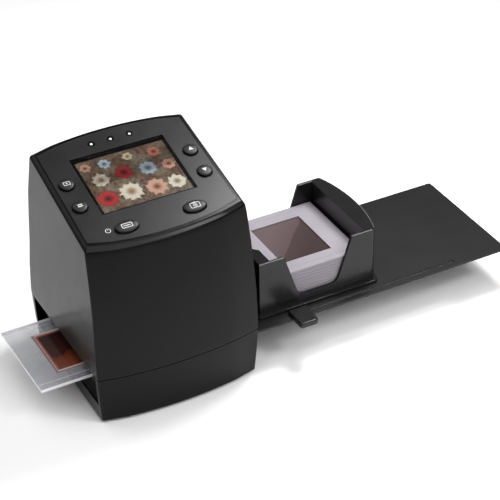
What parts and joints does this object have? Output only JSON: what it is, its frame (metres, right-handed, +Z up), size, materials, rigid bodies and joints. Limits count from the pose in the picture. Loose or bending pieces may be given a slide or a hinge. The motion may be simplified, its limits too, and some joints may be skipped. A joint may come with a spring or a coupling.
{
  "type": "film negative scanner",
  "caption": "Desktop film and slide scanner: bulging housing with a sloping screen panel, a feed tray with magazine and pusher, and a clear film holder.",
  "frame": {"origin": "on the table, under the middle of the whole outline as stored", "axes": "+X the way the tray comes out, to the user's right; +Y to the back, where the sockets are; +Z up"},
  "size_m": [0.2476, 0.089, 0.1098],
  "materials": {
    "housing": "satin black moulding",
    "panel": "satin black moulding",
    "tray": "fine matt black moulding",
    "magazine": "satin black moulding",
    "button": "matt black with printed pictograms",
    "screen_cover": "polished",
    "screen": "glossy picture screen",
    "rubber": "matt",
    "circuit": "green solder mask",
    "dark_plastic": "matt black",
    "white_plastic": "matt white",
    "light": "clear encapsulation",
    "lens": "coated and polished",
    "filter": "coated and polished",
    "sensor": "glass-topped package",
    "steel": "nickel plated",
    "ribbon": "flexible film",
    "indicator": "clear light pipe",
    "clear_plastic": "clear moulding",
    "slide_mount": "matt light grey",
    "slide_film": "developed slide film",
    "negative": "developed orange-brown negative film"
  },
  "bodies": {
    "housing": {"base_shell": "housing", "upper_shell": "housing", "control_panel": "panel", "screen_window": "screen_cover", "screen_module": "screen", "indicator_lenses": "indicator", "button_pad": "rubber", "button_board": "circuit", "panel_screws": "steel", "backlight_board": "circuit", "backlight_lamps": "light", "light_box": "white_plastic", "diffuser": "white_plastic", "lower_film_gate": "dark_plastic", "upper_film_guide": "dark_plastic", "camera_bracket": "dark_plastic", "lens_barrel": "dark_plastic", "lens_elements": "lens", "infrared_filter": "filter", "image_sensor": "sensor", "sensor_board": "circuit", "main_board": "circuit", "usb_socket": "steel", "video_socket": "dark_plastic", "card_socket": "steel", "board_screws": "steel", "screen_ribbon": "ribbon", "sensor_ribbon": "ribbon", "detent_spring": "steel", "rubber_feet": "rubber", "base_screws": "steel"},
    "tray": {"tray_plate": "tray", "tray_channel": "tray", "magazine": "magazine"},
    "pusher": {"pusher_blade": "tray", "pusher_tab": "tray"},
    "slide_stack": {"slide_mounts": "slide_mount", "slide_films": "slide_film"},
    "film_holder": {"holder_base": "clear_plastic", "holder_cover": "clear_plastic", "negative_film": "negative"},
    "flip_button_cap": {"flip_button": "button"},
    "mode_button_cap": {"mode_button": "button"},
    "up_button_cap": {"up_button": "button"},
    "down_button_cap": {"down_button": "button"},
    "enter_button_cap": {"enter_button": "button"},
    "capture_button_cap": {"capture_button": "button"}
  },
  "joints": [
    {"name": "tray_slide", "type": "slide", "parent": "housing", "child": "tray", "axis": [1, 0, 0], "range_m": [0, 0.065]},
    {"name": "pusher_slide", "type": "slide", "parent": "tray", "child": "pusher", "axis": [1, 0, 0], "range_m": [0, 0.084]},
    {"name": "stack_lift", "type": "slide", "parent": "tray", "child": "slide_stack", "axis": [0, 0, 1], "range_m": [0, 0.034]},
    {"name": "holder_slide", "type": "slide", "parent": "housing", "child": "film_holder", "axis": [-1, 0, 0], "range_m": [-0.038, 0.018]},
    {"name": "flip_press", "type": "slide", "parent": "housing", "child": "flip_button_cap", "axis": [0, 0.2456, -0.9694], "range_m": [0, 0.0006], "stiffness_N_per_m": 1500},
    {"name": "mode_press", "type": "slide", "parent": "housing", "child": "mode_button_cap", "axis": [0, 0.2456, -0.9694], "range_m": [0, 0.0006], "stiffness_N_per_m": 1500},
    {"name": "up_press", "type": "slide", "parent": "housing", "child": "up_button_cap", "axis": [0, 0.2456, -0.9694], "range_m": [0, 0.0006], "stiffness_N_per_m": 1500},
    {"name": "down_press", "type": "slide", "parent": "housing", "child": "down_button_cap", "axis": [0, 0.2456, -0.9694], "range_m": [0, 0.0006], "stiffness_N_per_m": 1500},
    {"name": "enter_press", "type": "slide", "parent": "housing", "child": "enter_button_cap", "axis": [0, 0.2456, -0.9694], "range_m": [0, 0.0006], "stiffness_N_per_m": 1500},
    {"name": "capture_press", "type": "slide", "parent": "housing", "child": "capture_button_cap", "axis": [0, 0.2456, -0.9694], "range_m": [0, 0.0006], "stiffness_N_per_m": 1500}
  ]
}
